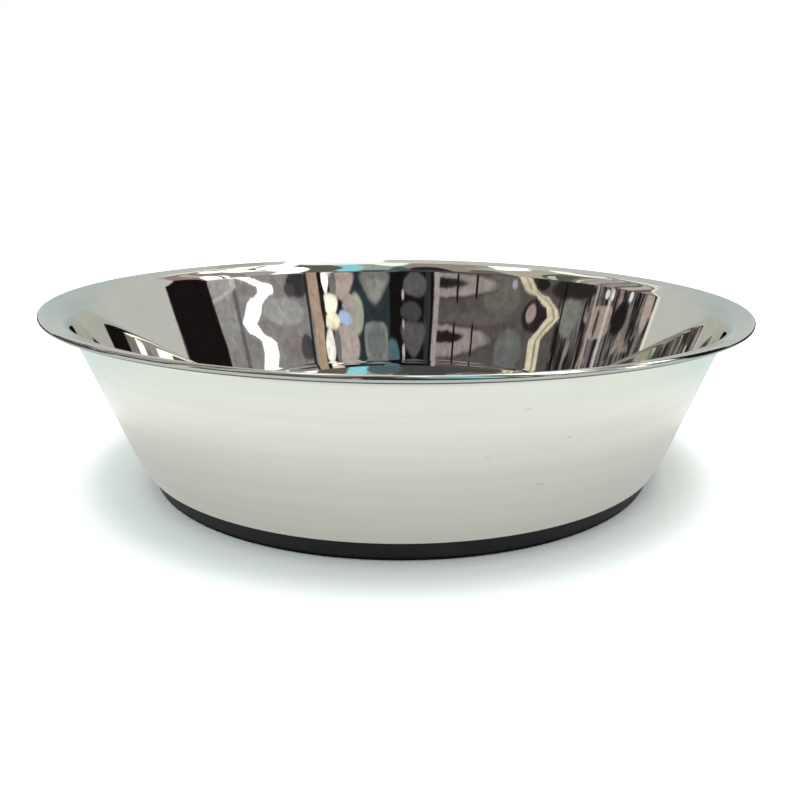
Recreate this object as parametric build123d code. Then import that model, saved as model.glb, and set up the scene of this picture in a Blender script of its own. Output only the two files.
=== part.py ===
from build123d import *
import math
import os

# Steel dog bowl with a flared, rolled rim and a rubber ring bonded under its foot.
# Lengths are in millimetres, angles in degrees. The bowl is round about Z and stands on z = 0,
# with the origin in the middle of the floor under it.

# Overall
RIM_DIAMETER = 280.0
BOWL_HEIGHT = 71.0
SHEET = 0.7

# Rolled edge and lip
ROLL_INSIDE_RADIUS = 0.5
ROLL_GAP = 0.15
LIP_WIDTH = 9.2
LIP_RISE = 16.0
LIP_BEND_INSIDE_RADIUS = 6.5

# Wall, leaning outwards from the vertical, and its rounded lower stretch
WALL_LEAN = 18.8
FOOT_LEAN = 31.0
FOOT_CURVE_HEIGHT = 9.5
FOOT_CURVE_SHARE = 0.86

# Stepped seat for the ring, and the base
SEAT_BEND_INSIDE_RADIUS = 0.5
BASE_CORNER_INSIDE_RADIUS = 1.6

# Rubber ring and the film that bonds it
RING_HEIGHT = 7.8
RING_BAND = 2.6
RING_DRAFT = 21.0
RING_TREAD = 2.4
RING_TREAD_WIDTH = 14.0
RING_FOOT_EDGE_RADIUS = 1.4
RIB_GROOVES = 3
RIB_GROOVE_RADIUS = 0.6
BOND = 0.25

# Places that follow from the sizes above, on the middle of the sheet as (radius, height)
HALF_SHEET = SHEET / 2
SEAT_BEND_RADIUS = SEAT_BEND_INSIDE_RADIUS + HALF_SHEET
BASE_CORNER_RADIUS = BASE_CORNER_INSIDE_RADIUS + HALF_SHEET
LIP_BEND_RADIUS = LIP_BEND_INSIDE_RADIUS + HALF_SHEET
ROLL_RADIUS = ROLL_INSIDE_RADIUS + HALF_SHEET
ROLL_OUTSIDE_RADIUS = ROLL_INSIDE_RADIUS + SHEET
BASE_HEIGHT = RING_TREAD + BOND + HALF_SHEET
LEDGE_HEIGHT = RING_HEIGHT + HALF_SHEET
LEDGE_WIDTH = RING_BAND + BOND


def along(start, slope, height):
    """The point at height on a line from start that goes out by its slope for each unit of rise."""
    radius, bottom = start
    return radius + (height - bottom) * slope, height


def roll_start():
    """Where the lip runs into the rolled edge."""
    rise = math.radians(LIP_RISE)
    centre_radius = RIM_DIAMETER / 2 - ROLL_OUTSIDE_RADIUS
    centre_height = BOWL_HEIGHT - ROLL_OUTSIDE_RADIUS
    return centre_radius - ROLL_RADIUS * math.sin(rise), centre_height + ROLL_RADIUS * math.cos(rise)


def lip_corner():
    """Where the wall turns out into the lip."""
    radius, height = roll_start()
    corner_radius = RIM_DIAMETER / 2 - LIP_WIDTH
    return corner_radius, height - (radius - corner_radius) * math.tan(math.radians(LIP_RISE))


def foot_corner():
    """Where the straight wall would meet the lean of its lowest stretch."""
    return along(lip_corner(), math.tan(math.radians(WALL_LEAN)), LEDGE_HEIGHT + FOOT_CURVE_HEIGHT / 2)


def ledge_outer():
    """Foot of the wall, where the sheet turns in over the ring."""
    return along(foot_corner(), math.tan(math.radians(FOOT_LEAN)), LEDGE_HEIGHT)


def ledge_inner():
    """Inner end of the ledge, where the sheet turns down behind the ring."""
    radius, height = ledge_outer()
    return radius - LEDGE_WIDTH, height


def base_corner():
    """Edge of the flat base."""
    return along(ledge_inner(), math.tan(math.radians(RING_DRAFT)), BASE_HEIGHT)


def foot_curve_radius():
    """Radius that takes its share of the run between the ledge and the foot corner."""
    half_turn = math.radians(FOOT_LEAN - WALL_LEAN) / 2
    run = math.dist(foot_corner(), ledge_outer())
    return run * FOOT_CURVE_SHARE / math.tan(half_turn)


def ledge_end():
    """Where the flat of the ledge ends and the sheet starts to bend up into the wall."""
    radius, height = ledge_outer()
    half_turn = math.radians(90 - FOOT_LEAN) / 2
    return radius - SEAT_BEND_RADIUS * math.tan(half_turn), height


def drawn_run():
    """Middle line of the sheet, from the axis across the base and up to the start of the rolled edge."""
    corners = [
        (-SHEET, BASE_HEIGHT),
        base_corner(),
        ledge_inner(),
        ledge_outer(),
        foot_corner(),
        lip_corner(),
        roll_start(),
    ]
    bends = [BASE_CORNER_RADIUS, SEAT_BEND_RADIUS, SEAT_BEND_RADIUS, foot_curve_radius(), LIP_BEND_RADIUS]
    return FilletPolyline(*corners, radius=bends)


def rolled_edge():
    """Middle line of the edge, which turns out, down and back up to just under the lip."""
    rise = math.radians(LIP_RISE)
    end_height = ROLL_INSIDE_RADIUS - HALF_SHEET - ROLL_GAP
    turn = 360 - math.degrees(math.acos(end_height / ROLL_RADIUS))
    return JernArc(roll_start(), (math.cos(rise), math.sin(rise)), ROLL_RADIUS, -turn)


def thick_line(edges, half_width):
    """A run of edges given a thickness, as a flat section that stops at the axis."""
    section = Face(Wire(edges).offset_2d(half_width))
    right_of_axis = Rectangle(RIM_DIAMETER, BOWL_HEIGHT * 2, align=(Align.MIN, Align.CENTER))
    return section & right_of_axis


def ring_block():
    """Section of the ring's outline, filled up to the middle of the sheet that it seats on."""
    outer_top = (ledge_end()[0], RING_HEIGHT - BOND)
    outer_foot = along(outer_top, math.tan(math.radians(RING_DRAFT)), 0)
    inner_foot = (outer_foot[0] - RING_TREAD_WIDTH, 0)
    inner_top = (inner_foot[0], BASE_HEIGHT)
    outline = FilletPolyline(
        ledge_end(),
        outer_top,
        outer_foot,
        inner_foot,
        inner_top,
        radius=[0, RING_FOOT_EDGE_RADIUS, RING_FOOT_EDGE_RADIUS],
    )
    seat = FilletPolyline(
        inner_top,
        base_corner(),
        ledge_inner(),
        ledge_end(),
        radius=[BASE_CORNER_RADIUS, SEAT_BEND_RADIUS],
    )
    return make_face(outline.edges() + seat.edges())


def bonded_sheet():
    """Section of the sheet with the thickness of the film added on both sides."""
    return thick_line(drawn_run().edges(), HALF_SHEET + BOND)


def turned(section):
    """A section turned once about the bowl's axis."""
    return revolve(Plane.XZ * section, Axis.Z)


def steel_bowl():
    """The drawn sheet: base, seat, wall, lip and rolled edge."""
    return turned(thick_line(drawn_run().edges() + rolled_edge().edges(), HALF_SHEET))


def foot_ring():
    """The rubber ring, with half-round grooves between the ribs that it stands on."""
    section = ring_block() - bonded_sheet()
    foot = section.edges().filter_by(Axis.X).sort_by(Axis.Y)[0]
    for groove in range(RIB_GROOVES):
        place = foot.position_at((groove + 1) / (RIB_GROOVES + 1))
        section -= Pos(place) * Circle(RIB_GROOVE_RADIUS)
    return turned(section)


def bond_film():
    """The film of adhesive that fills the gap between the ring and the sheet."""
    film = ring_block() & bonded_sheet()
    return turned(film - thick_line(drawn_run().edges(), HALF_SHEET))


os.makedirs("parts", exist_ok=True)
export_step(steel_bowl(), "parts/steel_bowl.step")
export_step(foot_ring(), "parts/foot_ring.step")
export_step(bond_film(), "parts/bond_film.step")
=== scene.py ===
"""The looks of a steel dog bowl: mirror and satin steel, a rubber foot ring, and a studio round them."""

import math
from typing import NamedTuple

import bpy
from bpy.props import FloatProperty, FloatVectorProperty, IntProperty, PointerProperty
from bpy.types import Operator, Panel, PropertyGroup, Scene
from mathutils import Matrix, Vector


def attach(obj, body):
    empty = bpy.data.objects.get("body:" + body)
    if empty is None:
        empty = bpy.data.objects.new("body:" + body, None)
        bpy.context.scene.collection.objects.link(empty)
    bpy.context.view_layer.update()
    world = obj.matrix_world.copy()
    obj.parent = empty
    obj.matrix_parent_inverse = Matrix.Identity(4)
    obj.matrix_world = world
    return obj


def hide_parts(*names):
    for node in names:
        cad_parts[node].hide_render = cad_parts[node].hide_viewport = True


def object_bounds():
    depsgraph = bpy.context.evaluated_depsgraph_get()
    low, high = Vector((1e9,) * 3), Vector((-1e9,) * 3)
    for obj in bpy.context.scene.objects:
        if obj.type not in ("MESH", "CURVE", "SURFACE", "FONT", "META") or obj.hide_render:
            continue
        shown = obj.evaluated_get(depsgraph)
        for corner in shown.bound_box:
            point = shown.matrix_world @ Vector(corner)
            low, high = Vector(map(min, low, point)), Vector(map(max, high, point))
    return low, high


bl_info = {
    "name": "Dog bowl",
    "version": (1, 0, 0),
    "blender": (4, 5, 0),
    "location": "3D View > Sidebar > Dog bowl",
    "description": "Models a steel dog bowl and its rubber foot ring, with their finishes and a studio",
    "category": "Add Mesh",
}

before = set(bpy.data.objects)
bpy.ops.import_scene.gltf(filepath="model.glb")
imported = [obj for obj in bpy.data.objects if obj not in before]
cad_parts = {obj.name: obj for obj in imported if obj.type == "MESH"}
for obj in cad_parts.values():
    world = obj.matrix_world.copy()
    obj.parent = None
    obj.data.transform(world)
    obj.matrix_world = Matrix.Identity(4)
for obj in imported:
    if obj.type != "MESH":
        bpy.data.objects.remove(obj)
CAD_LOW, CAD_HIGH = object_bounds()

ROUND_STEPS = 256
ARC_STEP = math.radians(7.5)
LONGEST_ARC_STEP = 0.0003
LONGEST_STEP = 0.008
EDGE_STEP = 0.0002
SHORTEST_EDGED_RUN = 5 * EDGE_STEP
DOUBLES = 1e-6
SHARP_ANGLE = math.radians(40)
MILLIMETRE = 0.001
LENS_AND_SENSOR = 36
CLIP_START = 0.01

# Where the finishes and the painted shade change, from and to a distance from the bowl's axis or a height
# over the floor.
ROLL_RADII = (0.1372, 0.1380)
ROLL_OUTSIDE_HEIGHTS = (0.0701, 0.0698)
ROLL_UNDERSIDE_HEIGHTS = (0.0694, 0.0690)
RING_UNDERSIDE_HEIGHTS = (0.0019, 0.0012)

# Where the painted light and shade on the floor that the steel shows change, by the distance from the bowl's
# axis, and, for the painted shade behind the bowl, by how far back and how far to the right it lies.
FLOOR_CLEAR_RADII = (0.104, 0.108)
FLOOR_FAR_RADII = (0.142, 0.166)
FLOOR_FURTHEST_RADII = (0.172, 0.215)
FLOOR_DIM_RADII = (0.26, 0.31)
FLOOR_DIM_BACK = (-0.12, -0.03)
FLOOR_DIM_RIGHT = (-0.12, 0.12)
FLOOR_DIMMEST_RADII = (0.38, 0.50)
FLOOR_DIM = 0.02


def length(name, description, default):
    """A size in metres."""
    return FloatProperty(
        name=name,
        description=description,
        default=default,
        min=0.0,
        precision=5,
        subtype="DISTANCE",
        unit="LENGTH",
    )


def angle(name, description, degrees):
    """An angle, given in degrees and kept in radians."""
    return FloatProperty(
        name=name, description=description, default=math.radians(degrees), subtype="ANGLE", unit="ROTATION"
    )


def colour(name, description, default):
    """A linear colour."""
    return FloatVectorProperty(
        name=name, description=description, default=default, size=3, min=0.0, soft_max=1.0, subtype="COLOR"
    )


def share(name, description, default):
    """A number from 0 to 1."""
    return FloatProperty(
        name=name, description=description, default=default, min=0.0, max=1.0, subtype="FACTOR"
    )


def level(name, description, default):
    """A brightness, with white at 1."""
    return FloatProperty(name=name, description=description, default=default, min=0.0, soft_max=2.0)


class BowlSizes(PropertyGroup):
    """Sizes of the drawn steel sheet."""

    rim_diameter: length("Rim diameter", "Across the rolled edge", CAD_HIGH.x - CAD_LOW.x)
    height: length("Height", "From the floor to the top of the rolled edge", CAD_HIGH.z)
    sheet: length("Sheet", "Thickness of the steel", 0.0007)
    roll_inside_radius: length("Roll inside radius", "Inside of the rolled edge", 0.0005)
    roll_gap: length("Roll gap", "Between the end of the rolled edge and the lip", 0.00015)
    lip_width: length("Lip width", "From the wall's top to the rim", 0.0092)
    lip_rise: angle("Lip rise", "Slope of the lip above the horizontal", 16.0)
    lip_bend_inside_radius: length("Lip bend radius", "Inside of the bend from wall to lip", 0.0065)
    wall_lean: angle("Wall lean", "Lean of the wall from the vertical", 18.8)
    foot_lean: angle("Foot lean", "Lean of the wall where it meets the ring", 31.0)
    foot_curve_height: length("Foot curve height", "Height of the wall's rounded lowest stretch", 0.0095)
    foot_curve_share: share("Foot curve share", "Share of that stretch that is curved", 0.86)
    seat_bend_inside_radius: length("Seat bend radius", "Inside of the bends over the ring", 0.0005)
    base_corner_inside_radius: length("Base corner radius", "Inside of the bend round the base", 0.0016)


class RingSizes(PropertyGroup):
    """Sizes of the rubber foot ring and of the film that bonds it."""

    height: length("Ring height", "From the floor to the ledge over the ring", 0.0078)
    band: length("Ring band", "Thickness of the upright band", 0.0026)
    draft: angle("Ring draft", "Lean of the band from the vertical", 21.0)
    tread: length("Ring tread", "Thickness of the flange under the base", 0.0024)
    tread_width: length("Tread width", "Width of the ring's underside", 0.014)
    foot_edge_radius: length("Foot edge radius", "Rounding of the ring's lower edges", 0.0014)
    top_edge_radius: length("Top edge radius", "Rounding of the ring's upper edges", 0.0002)
    grooves: IntProperty(
        name="Grooves", description="Grooves between the ribs of the tread", default=3, min=0
    )
    groove_radius: length("Groove radius", "Half the width of a groove", 0.0006)
    bond: length("Bond", "Thickness of the film between ring and steel", 0.00025)


class Finishes(PropertyGroup):
    """Colours of the materials."""

    mirror_steel: colour("Mirror steel", "Polished inside, lip and rolled edge", (0.77, 0.765, 0.715))
    satin_steel: colour("Satin steel", "Brushed outside", (0.835, 0.835, 0.745))
    rubber: colour("Rubber", "Foot ring", (0.017, 0.0152, 0.0175))
    dust: colour("Dust", "Film of dust on the rubber", (0.20, 0.19, 0.18))
    adhesive: colour("Adhesive", "Film between ring and steel", (0.055, 0.05, 0.042))


class Studio(PropertyGroup):
    """The floor, the lights and the camera."""

    camera_distance: length("Camera distance", "In front of the bowl's axis", 0.3417)
    camera_height: length("Camera height", "Above the floor", 0.12195)
    camera_pitch: angle("Camera pitch", "Downward tilt", 19.61)
    camera_yaw: angle("Camera yaw", "Turn to the left", -3.6)
    camera_roll: angle("Camera roll", "Turn about the line of sight", 1.21)
    camera_shift: share("Camera shift", "Shift of the frame to the left and up", 0.0665)
    floor_size: length("Floor size", "Length of the floor's sides", 12.0)
    floor_white: level("Floor white", "Reflectance of the floor", 0.86)
    floor_shown: level("Floor shown", "The floor as the camera takes it, white where nothing shades it", 1.65)
    # Painted light and shade on the floor for glossy rays only: a lower reflectance, and a glow that is
    # brightest away from the bowl.
    floor_mirrored: level("Floor mirrored", "The floor's reflectance as the steel shows it", 0.35)
    glow_near: level("Floor near", "Added close to the bowl to the floor that the steel shows", 0.45)
    glow_far: level("Floor far", "Added further out to the floor that the steel shows", 0.68)
    glow_furthest: colour(
        "Floor furthest",
        "Added well away from the bowl to the floor that the steel shows",
        (0.44, 0.55, 0.555),
    )
    dome_left: colour("Dome, left", "Light from all round, at the left", (0.64, 0.73, 0.72))
    dome_right: colour("Dome, right", "Light from all round, at the right", (0.49, 0.505, 0.50))
    overhead: level("Overhead", "Light from above, as a share of what the floor receives", 0.42)
    overhead_spread: angle("Overhead spread", "Angle that the overhead light fills", 28.0)
    overhead_front: angle("Overhead front", "Lean of the overhead light to the front", 5.0)
    overhead_right: angle("Overhead right", "Lean of the overhead light to the right", 1.5)


def at_lean(start, lean, height):
    """The point at a height on a line from start that leans out from the vertical."""
    return Vector((start.x + (height - start.y) * math.tan(lean), height))


def left_of(way):
    """The unit normal to the left of a way."""
    return Vector((-way.y, way.x)).normalized()


def arc(start, way, radius, turn):
    """Points round an arc that sets off along a way. A positive turn goes left."""
    to_centre = left_of(way) * math.copysign(radius, turn)
    steps = math.ceil(max(abs(turn) / ARC_STEP, abs(turn) * radius / LONGEST_ARC_STEP))
    return [
        start + to_centre - Matrix.Rotation(turn * step / steps, 2) @ to_centre for step in range(steps + 1)
    ]


def straight(start, end):
    """Points along a straight run after its start. Two near its ends keep the shading between them flat."""
    run = (end - start).length
    steps = max(1, math.ceil(run / LONGEST_STEP))
    shares = [step / steps for step in range(1, steps + 1)]
    if run > SHORTEST_EDGED_RUN:
        shares = [EDGE_STEP / run, *shares[:-1], 1 - EDGE_STEP / run, 1]
    return [start.lerp(end, part) for part in shares]


def rounded(corners, radii):
    """Points along straight runs with rounded corners between them."""
    points = [corners[0]]
    for before, corner, after, radius in zip(corners, corners[1:], corners[2:], radii):
        way_in, way_out = (corner - before).normalized(), (after - corner).normalized()
        turn = -way_in.angle_signed(way_out)
        bend = arc(corner - way_in * radius * math.tan(abs(turn) / 2), way_in, radius, turn)
        points += straight(points[-1], bend[0]) + bend[1:]
    return points + straight(points[-1], corners[-1])


def beside(before, corner, after, distance):
    """The corner of a line that runs at a distance to the right of another."""
    first, second = left_of(corner - before), left_of(after - corner)
    return corner - (first + second) * distance / (1 + first.dot(second))


class Section:
    """Half a section of the bowl. Its places lie on the middle of the sheet, as (radius, height)."""

    def __init__(self, bowl, ring):
        self.bowl, self.ring = bowl, ring
        self.half_sheet = bowl.sheet / 2
        self.seat_bend = bowl.seat_bend_inside_radius + self.half_sheet
        self.base_bend = bowl.base_corner_inside_radius + self.half_sheet
        self.lip_bend = bowl.lip_bend_inside_radius + self.half_sheet
        self.roll_bend = bowl.roll_inside_radius + self.half_sheet
        self.base_middle = Vector((0, ring.tread + ring.bond + self.half_sheet))
        ledge_height = ring.height + self.half_sheet
        roll_reach = bowl.roll_inside_radius + bowl.sheet
        roll_centre = Vector((bowl.rim_diameter / 2 - roll_reach, bowl.height - roll_reach))
        self.lip_way = Vector((math.cos(bowl.lip_rise), math.sin(bowl.lip_rise)))
        self.roll_start = roll_centre + left_of(self.lip_way) * self.roll_bend
        lip_run = self.roll_start.x - (bowl.rim_diameter / 2 - bowl.lip_width)
        self.lip_corner = self.roll_start - Vector((lip_run, lip_run * math.tan(bowl.lip_rise)))
        self.foot_corner = at_lean(self.lip_corner, bowl.wall_lean, ledge_height + bowl.foot_curve_height / 2)
        self.ledge_outer = at_lean(self.foot_corner, bowl.foot_lean, ledge_height)
        self.ledge_inner = self.ledge_outer - Vector((ring.band + ring.bond, 0))
        self.base_corner = at_lean(self.ledge_inner, ring.draft, self.base_middle.y)

    def sheet_line(self):
        """The middle line of the sheet, from the axis to the end of the rolled edge."""
        foot_run = (self.foot_corner - self.ledge_outer).length * self.bowl.foot_curve_share
        foot_bend = foot_run / math.tan((self.bowl.foot_lean - self.bowl.wall_lean) / 2)
        roll_end = self.bowl.roll_inside_radius - self.half_sheet - self.bowl.roll_gap
        roll_turn = math.acos(roll_end / self.roll_bend) - math.tau
        corners = [
            self.base_middle,
            self.base_corner,
            self.ledge_inner,
            self.ledge_outer,
            self.foot_corner,
            self.lip_corner,
            self.roll_start,
        ]
        drawn = rounded(corners, [self.base_bend, self.seat_bend, self.seat_bend, foot_bend, self.lip_bend])
        return drawn + arc(self.roll_start, self.lip_way, self.roll_bend, roll_turn)[1:]

    def ring_line(self):
        """The closed outline of the ring: over its top, down and along its tread, and back along its seat."""
        ring = self.ring
        clear = self.half_sheet + ring.bond
        ledge_bend_run = self.seat_bend * math.tan((math.pi / 2 - self.bowl.foot_lean) / 2)
        outer_top = Vector((self.ledge_outer.x - ledge_bend_run, ring.height - ring.bond))
        outer_foot = at_lean(outer_top, ring.draft, 0)
        inner_foot = outer_foot - Vector((ring.tread_width, 0))
        inner_top = Vector((inner_foot.x, ring.tread))
        base_seat = beside(self.base_middle, self.base_corner, self.ledge_inner, clear)
        ledge_seat = beside(self.base_corner, self.ledge_inner, self.ledge_outer, clear)
        top_middle = ledge_seat.lerp(outer_top, 0.5)

        outer_flat = outer_foot.x - ring.foot_edge_radius * math.tan((math.pi / 2 - ring.draft) / 2)
        inner_flat = inner_foot.x + ring.foot_edge_radius
        tread = []
        for groove in range(ring.grooves):
            middle = outer_flat + (inner_flat - outer_flat) * (groove + 1) / (ring.grooves + 1)
            start = Vector((middle + ring.groove_radius, 0))
            tread += arc(start, Vector((0, 1)), ring.groove_radius, math.pi)
        tread = tread or [outer_foot.lerp(inner_foot, 0.5)]
        outside = rounded(
            [top_middle, outer_top, outer_foot, tread[0]],
            [ring.top_edge_radius, ring.foot_edge_radius],
        )
        seat = rounded(
            [tread[-1], inner_foot, inner_top, base_seat, ledge_seat, top_middle],
            [ring.foot_edge_radius, ring.top_edge_radius, self.base_bend + clear, self.seat_bend - clear],
        )
        return outside + tread[1:-1] + seat


def spun(name, line):
    """A new piece: a line of points (radius, height), drawn one by one and spun round the bowl's axis."""
    bpy.ops.object.select_all(action="DESELECT")
    bpy.ops.mesh.primitive_plane_add(size=LONGEST_STEP)
    piece = bpy.context.object
    piece.name = piece.data.name = name
    bpy.ops.object.mode_set(mode="EDIT")
    bpy.ops.mesh.select_all(action="SELECT")
    bpy.ops.mesh.merge(type="CENTER")
    bpy.ops.transform.translate(value=(line[0].x, 0, line[0].y))
    for here, there in zip(line, line[1:]):
        step = there - here
        bpy.ops.mesh.extrude_vertices_move(TRANSFORM_OT_translate={"value": (step.x, 0, step.y)})
    bpy.ops.mesh.select_all(action="SELECT")
    bpy.ops.mesh.spin(steps=ROUND_STEPS, angle=math.tau, center=(0, 0, 0), axis=(0, 0, 1))
    bpy.ops.mesh.select_all(action="SELECT")
    bpy.ops.mesh.remove_doubles(threshold=DOUBLES)
    bpy.ops.mesh.normals_make_consistent(inside=False)
    bpy.ops.object.mode_set(mode="OBJECT")
    return piece


class Value:
    """A socket that Python's operators work on: each adds the Math node that it stands for."""

    def __init__(self, graph, socket):
        self.graph, self.socket = graph, socket

    def __add__(self, other):
        return self.graph.maths("ADD", self, other)

    def __sub__(self, other):
        return self.graph.maths("SUBTRACT", self, other)

    def __rsub__(self, other):
        return self.graph.maths("SUBTRACT", other, self)

    def __mul__(self, other):
        return self.graph.maths("MULTIPLY", self, other)

    def __truediv__(self, other):
        return self.graph.maths("DIVIDE", self, other)

    __radd__ = __add__
    __rmul__ = __mul__


class Graph:
    """The nodes of one material or of the world."""

    def __init__(self, owner):
        owner.use_nodes = True
        self.tree = owner.node_tree
        self.tree.nodes.clear()

    def node(self, kind, settings, sockets):
        """Adds a node: its settings, then what its sockets hold or link to. Gives its outputs by name."""
        node = self.tree.nodes.new(kind)
        for name, setting in settings.items():
            setattr(node, name, setting)
        for name, held in sockets.items():
            socket = next(s for s in node.inputs if s.enabled and name in (s.identifier, s.name))
            if isinstance(held, Value):
                self.tree.links.new(held.socket, socket)
            else:
                socket.default_value = held
        return {socket.name: Value(self, socket) for socket in node.outputs if socket.enabled}

    def maths(self, operation, *values):
        """A Math node."""
        sockets = dict(zip(("Value", "Value_001"), values))
        return self.node("ShaderNodeMath", {"operation": operation}, sockets)["Value"]

    def smooth(self, value, low, high, kind="SMOOTHSTEP"):
        """0 below low and 1 above high, or the other way round where low is the greater."""
        sockets = {"Value": value, "From Min": low, "From Max": high}
        return self.node("ShaderNodeMapRange", {"interpolation_type": kind}, sockets)["Result"]

    def mix(self, factor, first, second):
        """One colour blended into another."""
        sockets = {"Factor": factor, "A": first, "B": second}
        return self.node("ShaderNodeMix", {"data_type": "RGBA"}, sockets)["Result"]

    def dimmed(self, tone, factor):
        """A colour times a number."""
        sockets = {"Factor": 1.0, "A": tone, "B": factor}
        return self.node("ShaderNodeMix", {"data_type": "RGBA", "blend_type": "MULTIPLY"}, sockets)["Result"]

    def noise(self, vector, scale, detail=2.0, roughness=0.5):
        """Noise from 0 to 1."""
        sockets = {"Vector": vector, "Scale": scale, "Detail": detail, "Roughness": roughness}
        return self.node("ShaderNodeTexNoise", {}, sockets)["Fac"]

    def vector(self, x, y, z):
        """A vector from three values."""
        return self.node("ShaderNodeCombineXYZ", {}, {"X": x, "Y": y, "Z": z})["Vector"]

    def split(self, vector):
        """The three values of a vector."""
        values = self.node("ShaderNodeSeparateXYZ", {}, {"Vector": vector})
        return values["X"], values["Y"], values["Z"]

    def radius(self, x, y):
        """The distance from the bowl's axis."""
        return self.maths("SQRT", x * x + y * y)

    def bump(self, height, distance):
        """The surface raised by height times distance."""
        sockets = {"Strength": 1.0, "Distance": distance, "Height": height}
        return self.node("ShaderNodeBump", {}, sockets)["Normal"]

    def object_place(self):
        """Where a point of the piece is."""
        return self.node("ShaderNodeTexCoord", {}, {})["Object"]

    def background(self, light):
        """Light from far away."""
        return self.node("ShaderNodeBackground", {}, {"Color": light})["Background"]

    def shader_mix(self, factor, first, second):
        """One shader blended into another."""
        sockets = {"Fac": factor, "Shader": first, "Shader_001": second}
        return self.node("ShaderNodeMixShader", {}, sockets)["Shader"]

    def principled(self, sockets):
        """The surface of a material."""
        surface = self.node("ShaderNodeBsdfPrincipled", {}, sockets)["BSDF"]
        self.node("ShaderNodeOutputMaterial", {}, {"Surface": surface})


def opaque(tint):
    """A colour with full alpha."""
    return (*tint, 1.0)


def grey(brightness):
    """A grey with full alpha."""
    return (brightness, brightness, brightness, 1.0)


def scaled(tint, factor):
    """A darker or lighter tone of a colour, with full alpha."""
    return (*(part * factor for part in tint), 1.0)


def turned_place(graph, place):
    """Coordinates for marks that run round the bowl: x, y, and how far out and up a point lies."""
    x, y, z = graph.split(place)
    return x, y, graph.radius(x, y) + z


def roll_and_painted_shade(graph, place):
    """Where the rolled edge is, and painted shade on it: a little round its outside and most along its
    underside.
    """
    x, y, z = graph.split(place)
    roll = graph.smooth(graph.radius(x, y), *ROLL_RADII)
    outside, underside = graph.smooth(z, *ROLL_OUTSIDE_HEIGHTS), graph.smooth(z, *ROLL_UNDERSIDE_HEIGHTS)
    return roll, roll * (outside * 0.3 + underside * 0.62)


def mirror_steel(tint):
    """Polished sheet: clear reflections, slow waves from drawing, faint polishing rings, a few specks, and
    painted shade round the rolled edge.
    """
    material = bpy.data.materials.new("mirror_steel")
    graph = Graph(material)
    place = graph.object_place()
    x, y, way = turned_place(graph, place)
    waves = graph.noise(place, 26.0, 1.0)
    rings = graph.noise(graph.vector(x * 6.0, y * 6.0, way * 2600.0), 1.0, 3.0, 0.6)
    smears = graph.smooth(graph.noise(place, 48.0, 4.0, 0.6), 0.46, 0.72)
    specks = graph.smooth(graph.noise(place, 620.0, 0.0), 0.80, 0.84)
    roll, painted_roll_shade = roll_and_painted_shade(graph, place)
    height = waves * 0.045 + rings * 0.0002
    tone = graph.mix(smears * 0.5, opaque(tint), scaled(tint, 0.94))
    tone = graph.mix(specks * 0.35, tone, scaled(tint, 0.35))
    graph.principled(
        {
            # Painted shade: the base colour darkens round the rolled edge, most on its underside.
            "Base Color": graph.mix(painted_roll_shade, tone, scaled(tint, 0.04)),
            "Metallic": 1.0,
            "Roughness": 0.016 + rings * 0.012 + smears * 0.012 + roll * 0.05,
            "Normal": graph.bump(height, MILLIMETRE),
        }
    )
    return material


def satin_steel(tint):
    """Brushed sheet: a fine grain that runs round the bowl, broad turning bands and faint handling marks."""
    material = bpy.data.materials.new("satin_steel")
    graph = Graph(material)
    place = graph.object_place()
    x, y, way = turned_place(graph, place)
    grain = graph.noise(graph.vector(x * 22.0, y * 22.0, way * 4200.0), 1.0, 2.0, 0.7)
    bands = graph.noise(graph.vector(x * 7.0, y * 7.0, way * 520.0), 1.0, 3.0, 0.6)
    sweeps = graph.noise(graph.vector(x * 9.0, y * 9.0, way * 150.0), 1.0, 4.0, 0.6)
    marks = graph.smooth(graph.noise(place, 55.0, 5.0, 0.65), 0.52, 0.78)
    nicks = graph.smooth(graph.noise(graph.vector(x * 130.0, y * 130.0, way * 420.0), 1.0, 0.0), 0.84, 0.88)
    tone = graph.mix(grain * 0.35, opaque(tint), scaled(tint, 0.86))
    tone = graph.mix(bands * 0.3, tone, scaled(tint, 0.92))
    tone = graph.mix(graph.smooth(sweeps, 0.35, 0.70) * 0.6, tone, scaled(tint, 0.90))
    tone = graph.mix(marks * 0.12, tone, scaled(tint, 0.82))
    graph.principled(
        {
            "Base Color": graph.mix(nicks * 0.25, tone, scaled(tint, 0.5)),
            "Metallic": 1.0,
            "Roughness": 0.16 + grain * 0.06 + bands * 0.04 + marks * 0.03,
            "Anisotropic": 0.6,
            "Anisotropic Rotation": 0.25,
            "Normal": graph.bump(grain * 0.012 + bands * 0.004, MILLIMETRE),
        }
    )
    return material


def moulded_rubber(tint, dust):
    """Matt rubber with a fine moulded texture and a little dust, and painted shade that darkens its lowest
    edge next to the floor.
    """
    material = bpy.data.materials.new("moulded_rubber")
    graph = Graph(material)
    place = graph.object_place()
    height = graph.split(place)[2]
    texture = graph.noise(place, 2600.0, 2.0, 0.6)
    clouds = graph.noise(place, 70.0, 4.0, 0.6)
    flecks = graph.smooth(graph.noise(place, 1500.0, 1.0), 0.68, 0.76)
    # Painted shade: near black towards the floor, in place of the contact shadow along the ring's foot.
    painted_foot_shade = graph.smooth(height, *RING_UNDERSIDE_HEIGHTS)
    dusty = (graph.smooth(clouds, 0.42, 0.75) * 0.07 + flecks * 0.06) * (1 - painted_foot_shade)
    tone = graph.mix(painted_foot_shade, graph.mix(clouds, opaque(tint), scaled(tint, 0.75)), scaled(tint, 0.05))
    graph.principled(
        {
            "Base Color": graph.mix(dusty, tone, opaque(dust)),
            "Roughness": 0.52 + clouds * 0.14 + dusty * 0.5 + painted_foot_shade * 0.3,
            "Specular IOR Level": 0.2,
            "Normal": graph.bump(texture * 0.02 + clouds * 0.03, MILLIMETRE),
        }
    )
    return material


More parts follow.
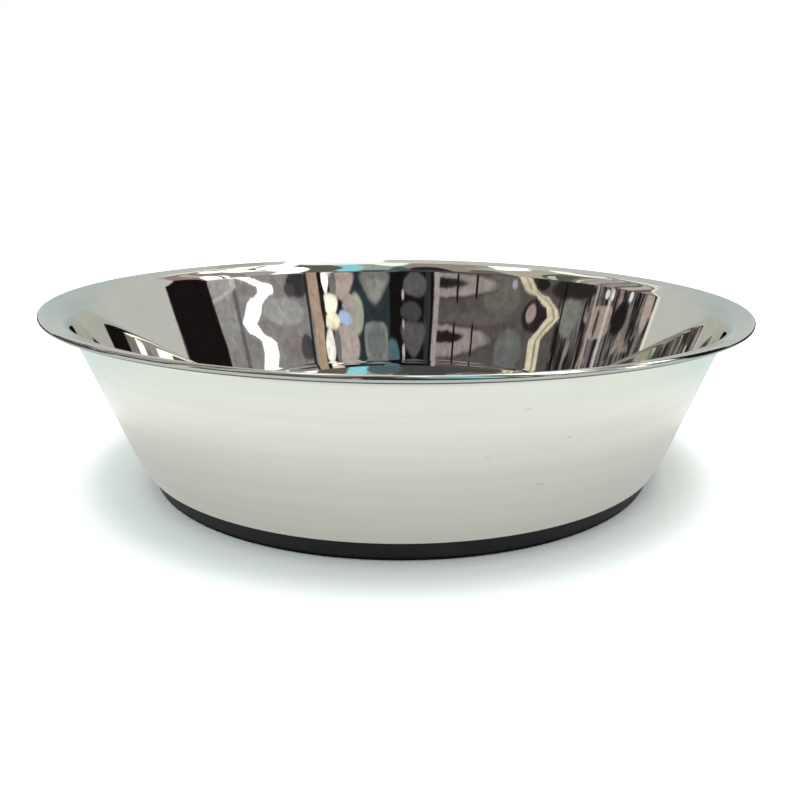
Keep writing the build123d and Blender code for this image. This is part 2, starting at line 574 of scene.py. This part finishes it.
def cured_adhesive(tint):
    """Dark cured film, a little uneven."""
    material = bpy.data.materials.new("cured_adhesive")
    graph = Graph(material)
    clouds = graph.noise(graph.object_place(), 180.0, 3.0)
    graph.principled(
        {
            "Base Color": graph.mix(clouds, opaque(tint), scaled(tint, 0.6)),
            "Roughness": 0.32 + clouds * 0.2,
            "Normal": graph.bump(clouds, 0.04 * MILLIMETRE),
        }
    )
    return material


class Strip(NamedTuple):
    """A strip of the room: its places across at each height, half its width and its colour."""

    line: tuple
    half_width: float
    tint: tuple


class Patch(NamedTuple):
    """A thing in the room: its place across, its height, half its width and height, colour and shape."""

    place: float
    row: float
    half_width: float
    half_height: float
    tint: tuple
    taper: float = 0.0
    boxy: bool = False


def upright(place, half_width, tint):
    """A strip with the same place at all heights."""
    return Strip(((0.0, place),), half_width, tint)


# The room that the polished steel reflects, each table from the back to the front of what overlaps.
BLACK = (0.010, 0.008, 0.009)
DARK = (0.020, 0.016, 0.017)
WHITE = (2.0, 2.0, 1.95)
SCREEN_TONE = (0.625, 0.633, 0.605)
SCREEN_MIDDLE_TONE = (0.49, 0.56, 0.555)
SCREEN_EDGE_TONE = (0.98, 0.94, 0.84)
BACK_WALL = (0.115, 0.10, 0.10)
STREAK_DARK = (0.016, 0.013, 0.014)
STREAK_PALE = (0.22, 0.20, 0.21)
STREAK_WARM = (0.36, 0.29, 0.25)
SOFT_EDGE = 0.4
PATCH_EDGE = (1.28, 0.76)

# Places are degrees round from the camera to the right. Heights are degrees up, as they are straight
# behind it. Off to the sides the same height lies lower, by the cosine of the curve share of the place.
# The ripples are how far the steel's waves shift what is seen.
ROW_CURVE_SHARE = 0.475
RIPPLE_ACROSS = 2.0
RIPPLE_UP = 0.5
RIPPLE_OVERHEAD = 0.8
STREAKS_FROM = (-74.0, -77.0)
OVERHEAD_FROM = (33.9, 34.5)
ROOM = (
    Patch(-47.0, 29.3, 9.0, 1.8, (0.165, 0.155, 0.135)),
    Patch(-53.0, 25.0, 7.0, 1.7, (0.17, 0.18, 0.18)),
    Patch(-36.0, 27.6, 16.0, 0.5, (0.145, 0.125, 0.125)),
    Patch(-52.5, 30.1, 1.4, 0.4, (0.44, 0.40, 0.50)),
    Patch(-16.0, 29.93, 29.0, 1.0, (0.035, 0.03, 0.03)),
    Patch(-16.0, 29.95, 27.5, 0.86, (0.38, 0.325, 0.32)),
    Patch(-16.0, 30.05, 14.0, 0.36, DARK),
    Patch(-16.0, 25.95, 28.0, 1.28, (0.035, 0.03, 0.03)),
    Patch(-16.0, 25.95, 26.5, 1.13, (0.36, 0.315, 0.31)),
    Patch(-16.0, 26.25, 13.5, 0.46, DARK),
    Patch(-25.0, 29.85, 0.55, 1.2, BLACK, boxy=True),
    Patch(-34.0, 29.95, 0.55, 1.0, BLACK, boxy=True),
    Patch(-24.0, 25.9, 0.55, 1.5, BLACK, boxy=True),
    Patch(-33.5, 25.95, 0.55, 1.25, BLACK, boxy=True),
    upright(14.5, 28.5, BLACK),
    upright(17.5, 9.5, (0.030, 0.045, 0.052)),
    Patch(-10.5, 28.0, 1.6, 4.0, (0.04, 0.042, 0.045)),
    Patch(7.0, 24.8, 3.6, 1.3, (0.10, 0.17, 0.21)),
    Patch(7.5, 33.4, 4.5, 2.4, (0.11, 0.19, 0.24)),
    Patch(-4.4, 29.85, 5.2, 0.95, (0.13, 0.125, 0.13), 0.1),
    Patch(-2.7, 27.85, 5.0, 0.62, (0.075, 0.075, 0.078)),
    Patch(-4.0, 26.05, 5.4, 1.15, (0.12, 0.115, 0.12), -0.45),
    Patch(1.0, 29.05, 0.6, 0.4, (0.6, 0.55, 0.55)),
    Patch(1.0, 27.0, 0.5, 0.3, (0.45, 0.42, 0.42)),
    Patch(1.0, 25.2, 0.7, 0.5, (0.5, 0.47, 0.47)),
    Patch(15.0, 29.7, 5.8, 1.25, (0.25, 0.245, 0.235), -0.5),
    Patch(14.6, 29.35, 3.6, 0.75, (0.34, 0.34, 0.315), -0.5),
    Patch(15.0, 25.85, 6.0, 1.35, (0.26, 0.275, 0.27), boxy=True),
    Patch(14.8, 25.9, 4.8, 1.2, (0.19, 0.205, 0.205)),
    Patch(24.5, 27.8, 3.8, 1.35, (0.46, 0.48, 0.39)),
    Patch(27.5, 28.6, 3.5, 0.5, (0.50, 0.44, 0.44), 0.4),
    Patch(31.0, 29.85, 5.6, 1.1, (0.55, 0.45, 0.43), -0.4),
    Patch(35.0, 30.0, 1.8, 1.0, (0.20, 0.19, 0.19)),
    Patch(30.0, 25.65, 6.0, 1.45, (0.55, 0.46, 0.44)),
    Patch(34.6, 25.6, 1.4, 1.3, (0.20, 0.19, 0.19)),
    Patch(30.3, 27.6, 3.4, 0.55, (0.50, 0.62, 0.90), 0.3),
    Patch(37.0, 28.45, 3.4, 0.75, (1.3, 1.25, 1.1), -0.3),
    Patch(36.5, 27.35, 3.6, 0.65, (1.25, 1.15, 0.92), 0.2),
    Patch(38.6, 30.15, 1.4, 0.95, WHITE, -0.3),
    Patch(38.4, 25.5, 2.2, 1.25, (1.15, 1.12, 1.08), 0.2),
    Patch(37.0, 33.2, 3.4, 2.6, (0.95, 0.82, 0.78)),
    upright(70.0, 27.0, (0.30, 0.285, 0.295)),
    Patch(60.0, 27.9, 9.5, 1.1, (0.43, 0.43, 0.43)),
    Patch(58.0, 25.2, 4.0, 1.1, (0.29, 0.245, 0.265)),
    Patch(51.5, 30.0, 5.0, 1.0, (0.05, 0.047, 0.05)),
    Patch(55.5, 29.6, 2.4, 0.5, (0.08, 0.075, 0.08)),
    Patch(50.4, 25.3, 3.4, 1.0, (0.075, 0.075, 0.085), 0.3),
    upright(82.0, 1.0, (0.17, 0.155, 0.16)),
    Patch(88.5, 29.8, 5.5, 1.2, (0.46, 0.42, 0.42)),
    Patch(88.0, 26.5, 5.2, 2.6, (0.36, 0.355, 0.36)),
    Strip(((27.6, 100.0), (29.8, 82.0)), 1.4, (0.62, 0.60, 0.60)),
    Patch(88.0, 31.0, 5.0, 0.22, WHITE, boxy=True),
    Strip(
        (
            (23.0, 71.5), (24.2, 69.5), (25.3, 69.5), (25.9, 75.0), (26.7, 77.3),
            (28.5, 73.0), (29.4, 67.0), (29.9, 66.8), (31.1, 80.5),
        ),
        3.5,
        WHITE,
    ),
    Patch(40.8, 28.0, 1.3, 1.6, DARK),
    Strip(((23.5, 43.2), (26.0, 43.4), (27.0, 43.0), (28.5, 44.0), (31.0, 44.4)), 2.3, (0.52, 0.38, 0.285)),
    upright(47.4, 0.7, (0.03, 0.026, 0.026)),
    Strip(((24.0, 102.5), (30.0, 104.5)), 11.0, (0.012, 0.008, 0.009)),
    Strip(((25.0, -14.2), (27.0, -14.8), (29.0, -15.4), (31.0, -15.0)), 1.2, (0.42, 0.38, 0.38)),
    Patch(-13.0, 27.8, 0.5, 0.9, BLACK),
)
STREAKS = (
    Patch(-82.0, 30.0, 11.0, 0.95, (0.03, 0.026, 0.022)),
    Patch(-64.5, 30.35, 5.0, 0.65, DARK),
    Patch(-65.0, 27.7, 7.0, 1.4, (0.028, 0.02, 0.024)),
    Patch(-62.5, 27.85, 2.6, 0.7, (0.44, 0.34, 0.34)),
    Patch(-81.5, 27.4, 5.0, 1.8, (0.235, 0.255, 0.215), -0.3),
    Patch(-98.5, 26.7, 5.2, 1.8, (0.42, 0.345, 0.31), boxy=True),
    upright(-100.5, 0.7, (0.62, 0.58, 0.56)),
    upright(-93.5, 0.6, (0.48, 0.42, 0.40)),
    Patch(-96.5, 26.6, 0.8, 1.5, (0.10, 0.07, 0.06)),
    Patch(-108.5, 26.8, 3.8, 2.0, DARK),
    Patch(-98.5, 29.8, 1.0, 0.5, (0.95, 0.93, 0.92)),
    Patch(-101.5, 29.6, 0.7, 0.6, (0.95, 0.93, 0.92)),
    Patch(-111.5, 29.3, 0.9, 0.7, (0.95, 0.93, 0.92)),
    Patch(-122.0, 27.5, 2.2, 3.4, (0.52, 0.43, 0.41)),
    upright(-77.5, 0.5, BLACK),
    Strip(
        (
            (23.2, -67.0), (25.6, -66.5), (26.4, -69.5), (27.5, -74.0),
            (28.3, -72.5), (29.2, -67.0), (29.8, -60.5), (31.0, -56.5),
        ),
        2.9,
        (0.82, 0.75, 0.58),
    ),
    Strip(
        (
            (23.2, -67.4), (25.6, -67.0), (26.4, -70.0), (27.5, -74.6),
            (28.3, -73.0), (29.2, -67.6), (29.8, -61.0), (31.0, -57.0),
        ),
        0.5,
        (0.34, 0.27, 0.19),
    ),
)

# Over the bowl the places are degrees round from the front, about a point high over its far side,
# and the heights are degrees away from that point. Short of the bend reach the places spread out,
# and past it they draw together.
HIGH_POINT_RISE = math.radians(41)
BEND_REACH = 40.0
LONGEST_REACH = 90.0
INNER_PLACES = (42.0, 24.0)
INNER_SPREAD = 0.00063
OUTER_DRAW = 0.4
OVERHEAD_TONE = (0.40, 0.345, 0.35)
OVERHEAD = (
    upright(-84.0, 4.0, (0.17, 0.15, 0.15)),
    upright(-74.5, 4.5, (0.62, 0.51, 0.48)),
    upright(-66.5, 1.6, (0.12, 0.125, 0.115)),
    upright(-62.5, 2.4, (0.36, 0.37, 0.33)),
    upright(-56.0, 1.0, (0.2, 0.17, 0.18)),
    upright(-50.0, 2.0, (0.55, 0.47, 0.47)),
    upright(-35.0, 7.0, (0.27, 0.28, 0.22)),
    Patch(-34.0, 66.0, 6.0, 28.0, (0.12, 0.13, 0.10)),
    Patch(-31.5, 80.0, 1.7, 22.0, (0.62, 0.66, 0.56)),
    upright(-43.0, 0.8, (0.85, 0.82, 0.70)),
    Patch(-32.0, 6.0, 9.5, 22.0, (1.3, 1.3, 1.24)),
    upright(-20.0, 8.0, (0.50, 0.53, 0.45)),
    upright(-22.6, 1.4, (0.58, 0.48, 0.41)),
    Patch(-16.8, 10.0, 4.0, 40.0, WHITE),
    upright(-6.0, 6.0, (0.38, 0.31, 0.285)),
    upright(-11.3, 1.0, (0.42, 0.42, 0.36)),
    Patch(-14.0, 90.0, 4.0, 26.0, (0.20, 0.16, 0.155)),
    Patch(-3.6, 88.0, 3.2, 32.0, (0.035, 0.028, 0.028)),
    upright(3.6, 3.6, (0.36, 0.46, 0.41)),
    Patch(2.2, 12.0, 2.6, 40.0, (1.2, 1.28, 1.22)),
    Patch(1.0, 86.0, 1.3, 28.0, (0.09, 0.14, 0.115)),
    upright(14.0, 3.2, (0.15, 0.135, 0.105)),
    upright(8.8, 1.9, (0.34, 0.80, 0.90)),
    Patch(8.5, 4.0, 8.5, 26.0, (1.2, 1.25, 1.2)),
    upright(26.5, 9.2, WHITE),
    Patch(33.5, 82.0, 8.5, 33.0, (0.46, 0.43, 0.45)),
    upright(40.5, 5.0, (0.34, 0.295, 0.28)),
    Patch(37.0, 6.0, 4.5, 24.0, WHITE),
    Patch(27.2, 14.0, 1.3, 42.0, (0.24, 0.21, 0.215)),
    upright(49.5, 3.4, (0.62, 0.54, 0.45)),
    upright(62.0, 9.2, (0.36, 0.28, 0.265)),
    Patch(49.2, 68.0, 6.5, 22.0, WHITE),
    upright(45.5, 0.8, (0.22, 0.19, 0.19)),
    Patch(70.0, 66.0, 12.5, 27.0, BLACK),
    Patch(-24.0, 100.5, 16.0, 9.0, (0.085, 0.075, 0.07)),
    Patch(-4.0, 100.5, 9.0, 9.0, (0.075, 0.08, 0.085)),
    Patch(4.0, 100.5, 3.2, 9.0, (0.11, 0.15, 0.17)),
    Patch(22.0, 100.5, 6.5, 9.0, (0.36, 0.34, 0.34)),
)

# The pale screen, in degrees round from straight behind the bowl to the left and degrees up,
# the hem along its edge, and what stands in front of its top.
SCREEN_MIDDLE = -6.5
SCREEN_HALF_WIDTH = 59.5
SCREEN_HEIGHT = 38.2
SCREEN_RISE_RIGHT = 5.8
SCREEN_RISE_RIGHT_PLACES = (0.0, -28.0)
SCREEN_RISE_LEFT = 1.1
SCREEN_RISE_LEFT_PLACES = (0.0, 20.0)
SCREEN_MIDDLE_PLACES = (36.0, 6.0)
SCREEN_MIDDLE_HEIGHTS = (36.0, 16.0)
SCREEN_EDGE = (1.04, 0.97)
HEM_EDGE = (1.16, 1.08)
HEM_PLACES = (-20.0, 10.0)
SCREEN_TOP = (
    Patch(5.2, 34.0, 1.5, 1.8, (0.47, 0.48, 0.42)),
    Patch(1.9, 37.2, 1.35, 2.2, WHITE, boxy=True),
)


def bent(graph, row, line):
    """The place of a strip at a height, from bend to bend."""
    place = line[0][1]
    for (low, start), (high, end) in zip(line, line[1:]):
        place = place + graph.smooth(row, low, high, "LINEAR") * (end - start)
    return place


def with_things(graph, seen, things, place, row):
    """Strips and patches of the room laid over what is seen. Their edges are a little soft."""
    for thing in things:
        if isinstance(thing, Strip):
            off = graph.maths("ABSOLUTE", place - bent(graph, row, thing.line))
            cover = graph.smooth(off, thing.half_width + SOFT_EDGE, thing.half_width - SOFT_EDGE)
        else:
            up = (row - thing.row) * (1 / thing.half_height)
            across = (place - thing.place) * (1 / thing.half_width)
            if thing.taper:
                across = across * (up * thing.taper + 1.0)
            across, up = across * across, up * up
            if thing.boxy:
                across, up = across * across, up * up
            cover = graph.smooth(across + up, *PATCH_EDGE)
        seen = graph.mix(cover, seen, opaque(thing.tint))
    return seen


def overhead_seen(graph, x, y, z, ripple):
    """What is over the bowl: beams and lamps that run towards a point high over its far side."""
    far, high = math.cos(HIGH_POINT_RISE), math.sin(HIGH_POINT_RISE)
    reach = graph.maths("ARCCOSINE", y * far + z * high) * math.degrees(1)
    column = graph.maths("ARCTAN2", x, z * (far / high) - y) * math.degrees(1)
    inner = graph.smooth(graph.maths("ABSOLUTE", column), *INNER_PLACES)
    short = graph.maths("MAXIMUM", BEND_REACH - reach, 0.0)
    long = graph.smooth(reach, BEND_REACH, LONGEST_REACH, "LINEAR")
    spread = 1.0 + inner * short * short * INNER_SPREAD - long * long * OUTER_DRAW
    column = column * spread + ripple * RIPPLE_OVERHEAD
    return with_things(graph, opaque(OVERHEAD_TONE), OVERHEAD, column, reach)


def room_seen(graph, way):
    """What polished steel sees: a pale screen behind the bowl, lamps over it and a dim room in front."""
    x, y, z = graph.split(way)
    place = graph.maths("ARCTAN2", x, 0.0 - y) * math.degrees(1)
    height = graph.maths("ARCSINE", z) * math.degrees(1)
    row = height / graph.maths("COSINE", place * math.radians(ROW_CURVE_SHARE))
    ripple = graph.noise(way, 9.0, 3.0) - 0.5
    place = place + ripple * RIPPLE_ACROSS
    row = row + (graph.noise(way, 13.0, 3.0) - 0.5) * RIPPLE_UP

    seen = with_things(graph, opaque(BACK_WALL), ROOM, place, row)
    fine = graph.noise(graph.vector(place * 0.55, row * 0.10, 0.0), 1.0, 3.0, 0.65)
    broad = graph.noise(graph.vector(place * 0.22, row * 0.28, 4.0), 1.0, 2.0)
    streaked = graph.mix(graph.smooth(fine, 0.42, 0.62), opaque(STREAK_DARK), opaque(STREAK_PALE))
    streaked = graph.mix(graph.smooth(broad, 0.56, 0.66), streaked, opaque(STREAK_WARM))
    seen = graph.mix(graph.smooth(place, *STREAKS_FROM), seen, streaked)
    seen = with_things(graph, seen, STREAKS, place, row)
    over = overhead_seen(graph, x, y, z, ripple)
    seen = graph.mix(graph.smooth(row, *OVERHEAD_FROM), seen, over)
    mottle = graph.noise(graph.vector(place * 0.35, row * 1.5, height * 0.2), 1.0, 4.0, 0.7)
    streaks = graph.noise(graph.vector(place * 1.6, row * 0.35, 7.0), 1.0, 3.0, 0.6)
    seen = graph.dimmed(seen, mottle * 1.4 + streaks * 0.3 + 0.15)

    round_back = graph.maths("ARCTAN2", 0.0 - x, y) * math.degrees(1)
    middle = graph.smooth(graph.maths("ABSOLUTE", round_back), *SCREEN_MIDDLE_PLACES)
    middle = middle * graph.smooth(height, *SCREEN_MIDDLE_HEIGHTS)
    screen = graph.mix(middle, opaque(SCREEN_TONE), opaque(SCREEN_MIDDLE_TONE))
    rise_right = graph.smooth(round_back, *SCREEN_RISE_RIGHT_PLACES) * SCREEN_RISE_RIGHT
    rise_left = graph.smooth(round_back, *SCREEN_RISE_LEFT_PLACES) * SCREEN_RISE_LEFT
    across = (round_back - SCREEN_MIDDLE) * (1 / SCREEN_HALF_WIDTH)
    up = height / (SCREEN_HEIGHT + rise_right + rise_left)
    across, up = across * across, up * up
    edge = across * across + up * up
    hem = graph.smooth(edge, *HEM_EDGE) * graph.smooth(round_back, *HEM_PLACES)
    seen = graph.mix(hem, seen, opaque(SCREEN_EDGE_TONE))
    seen = graph.mix(graph.smooth(edge, *SCREEN_EDGE), seen, screen)
    return with_things(graph, seen, SCREEN_TOP, round_back, height)


class DOGBOWL_OT_steel_bowl(Operator):
    """Model the drawn steel sheet of the bowl"""

    bl_idname = "dog_bowl.steel_bowl"
    bl_label = "Steel bowl"

    def execute(self, context):
        scene = context.scene
        section = Section(scene.dog_bowl_sizes, scene.dog_bowl_ring)
        piece = spun("bowl_sheet", section.sheet_line())
        base = min(piece.data.polygons, key=lambda face: face.center.xy.length)
        if base.normal.z < 0:
            bpy.ops.object.mode_set(mode="EDIT")
            bpy.ops.mesh.select_all(action="SELECT")
            bpy.ops.mesh.flip_normals()
            bpy.ops.object.mode_set(mode="OBJECT")
        piece.data.materials.append(mirror_steel(scene.dog_bowl_finishes.mirror_steel))
        piece.data.materials.append(satin_steel(scene.dog_bowl_finishes.satin_steel))
        bpy.ops.object.modifier_add(type="SOLIDIFY")
        wall = piece.modifiers[-1]
        wall.thickness, wall.offset, wall.use_even_offset = scene.dog_bowl_sizes.sheet, 0.0, True
        wall.material_offset = 1
        bpy.ops.object.modifier_apply(modifier=wall.name)
        bpy.ops.object.shade_smooth()
        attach(piece, "root")
        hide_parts("steel_bowl")
        return {"FINISHED"}


class DOGBOWL_OT_foot_ring(Operator):
    """Model the moulded rubber ring under the foot"""

    bl_idname = "dog_bowl.foot_ring"
    bl_label = "Foot ring"

    def execute(self, context):
        scene = context.scene
        section = Section(scene.dog_bowl_sizes, scene.dog_bowl_ring)
        piece = spun("rubber_ring", section.ring_line())
        finishes = scene.dog_bowl_finishes
        piece.data.materials.append(moulded_rubber(finishes.rubber, finishes.dust))
        bpy.ops.object.shade_smooth_by_angle(angle=SHARP_ANGLE)
        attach(piece, "root")
        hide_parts("foot_ring")
        return {"FINISHED"}


class DOGBOWL_OT_bond_film(Operator):
    """Give the film between the ring and the steel its finish"""

    bl_idname = "dog_bowl.bond_film"
    bl_label = "Bond film"

    def execute(self, context):
        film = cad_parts["bond_film"]
        film.data.materials.clear()
        film.data.materials.append(cured_adhesive(context.scene.dog_bowl_finishes.adhesive))
        return {"FINISHED"}


class DOGBOWL_OT_studio(Operator):
    """Set up the floor, the lights and the camera"""

    bl_idname = "dog_bowl.studio"
    bl_label = "Studio"

    def execute(self, context):
        scene, studio = context.scene, context.scene.dog_bowl_studio
        scene.view_settings.view_transform = "Standard"
        self.lay_floor(studio)
        self.hang_lights(scene, studio)
        self.place_camera(scene, studio)
        return {"FINISHED"}

    def lay_floor(self, studio):
        """A pale floor that is white where nothing shades it. To glossy rays it shows painted light and
        shade: a glow brightest away from the bowl, none next to the ring, and dim behind it.
        """
        bpy.ops.object.select_all(action="DESELECT")
        bpy.ops.mesh.primitive_plane_add(size=studio.floor_size)
        floor = bpy.context.object
        floor.name = "floor"
        material = bpy.data.materials.new("pale_floor")
        graph = Graph(material)
        rays = graph.node("ShaderNodeLightPath", {}, {})
        x, y, _ = graph.split(graph.object_place())
        radius = graph.radius(x, y)
        # Painted light: a glow seen only by glossy rays, brightest away from the bowl, with painted shade
        # next to the ring and behind it.
        far = graph.smooth(radius, *FLOOR_FAR_RADII)
        painted_floor_light = graph.mix(far, grey(studio.glow_near), grey(studio.glow_far))
        painted_floor_light = graph.mix(graph.smooth(radius, *FLOOR_CLEAR_RADII), grey(0.0), painted_floor_light)
        painted_floor_light = graph.mix(graph.smooth(radius, *FLOOR_FURTHEST_RADII), painted_floor_light, opaque(studio.glow_furthest))
        dim = graph.smooth(radius, *FLOOR_DIM_RADII) * graph.smooth(y, *FLOOR_DIM_BACK)
        to_right = graph.smooth(x, *FLOOR_DIM_RIGHT) * 0.5 + 0.5
        dim = dim * graph.maths("MAXIMUM", to_right, graph.smooth(radius, *FLOOR_DIMMEST_RADII))
        painted_floor_light = graph.mix(dim, painted_floor_light, grey(0.0))
        mirrored = graph.mix(dim, grey(studio.floor_mirrored), grey(FLOOR_DIM))
        tone = graph.mix(rays["Is Glossy Ray"], grey(studio.floor_white), mirrored)
        graph.principled(
            {
                "Base Color": graph.mix(rays["Is Camera Ray"], tone, grey(studio.floor_shown)),
                "Roughness": 1.0,
                "Specular IOR Level": 0.0,
                "Emission Color": graph.mix(rays["Is Glossy Ray"], grey(0.0), painted_floor_light),
                "Emission Strength": 1.0,
            }
        )
        floor.data.materials.append(material)

    def hang_lights(self, scene, studio):
        """Even light from all round, a softer part from above, and the room for polished steel to reflect."""
        scene.world = scene.world or bpy.data.worlds.new("studio")
        graph = Graph(scene.world)
        rays = graph.node("ShaderNodeLightPath", {}, {})
        way = graph.node("ShaderNodeTexCoord", {}, {})["Generated"]
        rightward = graph.split(way)[0] * 0.5 + 0.5
        dome = graph.mix(rightward, opaque(studio.dome_left), opaque(studio.dome_right))
        sky = graph.background(dome)
        sky = graph.shader_mix(rays["Is Glossy Ray"], sky, graph.background(room_seen(graph, way)))
        white = graph.maths("MAXIMUM", rays["Is Camera Ray"], rays["Is Transmission Ray"])
        sky = graph.shader_mix(white, sky, graph.background(grey(1.0)))
        graph.node("ShaderNodeOutputWorld", {}, {"Surface": sky})

        bpy.ops.object.light_add(type="SUN", rotation=(studio.overhead_front, studio.overhead_right, 0))
        overhead = bpy.context.object
        overhead.name = "overhead"
        overhead.data.energy = studio.overhead * math.pi
        overhead.data.angle = studio.overhead_spread
        overhead.visible_glossy = False

    def place_camera(self, scene, studio):
        """The camera, low in front of the bowl."""
        turn = (
            Matrix.Rotation(studio.camera_yaw, 4, "Z")
            @ Matrix.Rotation(math.pi / 2 - studio.camera_pitch, 4, "X")
            @ Matrix.Rotation(studio.camera_roll, 4, "Z")
        )
        bpy.ops.object.camera_add(
            location=(0, -studio.camera_distance, studio.camera_height), rotation=turn.to_euler()
        )
        camera = bpy.context.object
        camera.data.sensor_width = camera.data.lens = LENS_AND_SENSOR
        camera.data.shift_x, camera.data.shift_y = -studio.camera_shift, studio.camera_shift
        camera.data.clip_start = CLIP_START
        scene.camera = camera


class DOGBOWL_PT_sidebar(Panel):
    """Sizes, colours and steps of the dog bowl"""

    bl_idname = "DOGBOWL_PT_sidebar"
    bl_label = "Dog bowl"
    bl_space_type = "VIEW_3D"
    bl_region_type = "UI"
    bl_category = "Dog bowl"

    def draw(self, context):
        for operator in OPERATORS:
            self.layout.operator(operator.bl_idname)
        for name, group in GROUPS.items():
            box = self.layout.box()
            for field in group.__annotations__:
                box.prop(getattr(context.scene, name), field)


GROUPS = {
    "dog_bowl_sizes": BowlSizes,
    "dog_bowl_ring": RingSizes,
    "dog_bowl_finishes": Finishes,
    "dog_bowl_studio": Studio,
}
OPERATORS = (DOGBOWL_OT_steel_bowl, DOGBOWL_OT_foot_ring, DOGBOWL_OT_bond_film, DOGBOWL_OT_studio)


def register():
    for kind in (*GROUPS.values(), *OPERATORS, DOGBOWL_PT_sidebar):
        bpy.utils.register_class(kind)
    for name, group in GROUPS.items():
        setattr(Scene, name, PointerProperty(type=group))


def unregister():
    for name in GROUPS:
        delattr(Scene, name)
    for kind in (DOGBOWL_PT_sidebar, *reversed(OPERATORS), *GROUPS.values()):
        bpy.utils.unregister_class(kind)


def main():
    register()
    bpy.ops.dog_bowl.steel_bowl()
    bpy.ops.dog_bowl.foot_ring()
    bpy.ops.dog_bowl.bond_film()
    bpy.ops.dog_bowl.studio()


if __name__ == "__main__":
    main()
